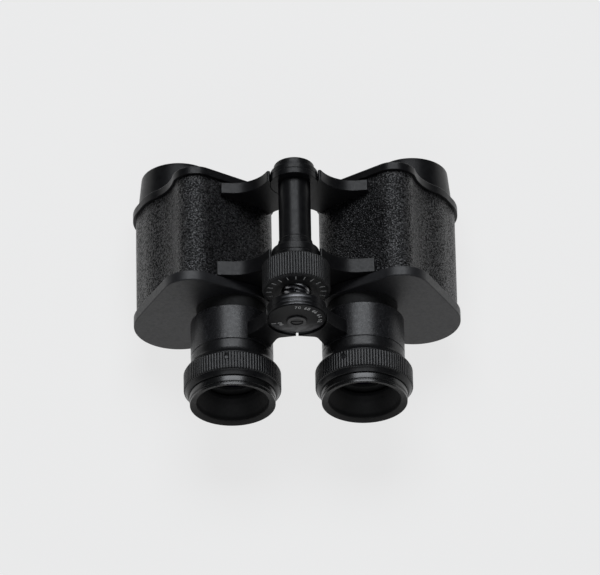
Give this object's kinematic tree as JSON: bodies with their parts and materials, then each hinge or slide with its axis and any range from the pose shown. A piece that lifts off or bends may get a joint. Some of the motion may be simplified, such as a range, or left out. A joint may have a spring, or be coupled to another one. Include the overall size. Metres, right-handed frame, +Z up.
{
  "type": "porro prism binoculars",
  "caption": "Centre-focus Porro-prism binoculars with folding hinge, knurled focus wheel, sliding eyepieces and leatherette-covered prism housings.",
  "frame": {"origin": "middle of the base, where the objective lobes of the housings rest", "axes": "+X to the right half, +Y along the optical axes to the objectives, +Z up"},
  "size_m": [0.1458, 0.1235, 0.0788],
  "materials": {
    "black_satin": "satin",
    "black_matte": "matte",
    "black_speckle": "matte",
    "black_anodised": "satin",
    "bare_aluminium": "satin",
    "leatherette": "satin",
    "black_steel": "satin",
    "spring_steel": "satin",
    "spindle_steel": "satin",
    "lens_glass": "gloss",
    "eyecup_plastic": "satin"
  },
  "bodies": {
    "left_half": {"left_housing": "black_satin", "left_leatherette": "leatherette", "left_front_cover": "black_satin", "left_rear_cover": "black_matte", "left_rear_cover_screws": "black_steel", "left_objective_barrel": "black_satin", "left_objective_cell": "black_anodised", "left_flint_lens": "lens_glass", "left_crown_lens": "lens_glass", "left_lens_ring": "black_anodised", "left_prism_shelf": "bare_aluminium", "left_rear_prism": "lens_glass", "left_front_prism": "lens_glass", "left_rear_prism_clamp": "spring_steel", "left_front_prism_clamp": "spring_steel", "left_guide_tube": "black_anodised", "hinge_axle": "spindle_steel", "front_hinge_cap": "black_satin"},
    "right_half": {"right_housing": "black_satin", "right_leatherette": "leatherette", "right_front_cover": "black_satin", "right_rear_cover": "black_matte", "right_rear_cover_screws": "black_steel", "right_objective_barrel": "black_satin", "right_objective_cell": "black_anodised", "right_flint_lens": "lens_glass", "right_crown_lens": "lens_glass", "right_lens_ring": "black_anodised", "right_prism_shelf": "bare_aluminium", "right_rear_prism": "lens_glass", "right_front_prism": "lens_glass", "right_rear_prism_clamp": "spring_steel", "right_front_prism_clamp": "spring_steel", "right_guide_tube": "black_anodised", "hinge_tube": "black_satin"},
    "focus_wheel_body": {"focus_wheel": "black_anodised", "wheel_retaining_ring": "black_steel"},
    "left_carriage": {"focus_spindle": "spindle_steel", "bridge_disc": "black_anodised", "bridge_nut": "black_steel", "bridge_screw": "black_steel", "left_bridge_arm": "black_satin", "left_eyepiece_sleeve": "black_speckle", "left_eyepiece_ring": "black_satin", "left_ring_screw": "black_steel", "left_eyecup": "eyecup_plastic", "left_ocular_cell": "black_anodised", "left_eye_lens": "lens_glass", "left_field_lens": "lens_glass"},
    "right_carriage": {"right_bridge_arm": "black_satin", "right_eyepiece_sleeve": "black_speckle"},
    "diopter_ring": {"right_eyepiece_ring": "black_satin", "right_ring_screw": "black_steel", "right_eyecup": "eyecup_plastic"},
    "right_ocular": {"right_ocular_cell": "black_anodised", "right_eye_lens": "lens_glass", "right_field_lens": "lens_glass"}
  },
  "joints": [
    {"name": "interpupillary_hinge", "type": "hinge", "parent": "left_half", "child": "right_half", "pos_m": [0, 0.0162, 0.0637], "axis": [0, -1, 0], "range_deg": [-3, 37]},
    {"name": "focus_wheel_turn", "type": "hinge", "parent": "left_half", "child": "focus_wheel_body", "pos_m": [0, -0.0154, 0.0637], "axis": [0, 1, 0], "range_deg": [-94, 207]},
    {"name": "left_focus_slide", "type": "slide", "parent": "left_half", "child": "left_carriage", "axis": [0, 1, 0], "range_m": [-0.0025, 0.0055]},
    {"name": "right_focus_slide", "type": "slide", "parent": "right_half", "child": "right_carriage", "axis": [0, 1, 0], "range_m": [-0.0025, 0.0055]},
    {"name": "dioptre_ring_turn", "type": "hinge", "parent": "right_carriage", "child": "diopter_ring", "pos_m": [0.0291, -0.0478, 0.0342], "axis": [0, 1, 0], "range_deg": [-109, 109]},
    {"name": "dioptre_slide", "type": "slide", "parent": "right_carriage", "child": "right_ocular", "axis": [0, 1, 0], "range_m": [-0.0011, 0.0011]}
  ],
  "couplings": [
    {"joint": "focus_wheel_turn", "follows": "left_focus_slide", "rad_per_m": 654.5},
    {"joint": "right_focus_slide", "follows": "left_focus_slide", "ratio": 1},
    {"joint": "dioptre_slide", "follows": "dioptre_ring_turn", "m_per_rad": 0.00057296}
  ]
}
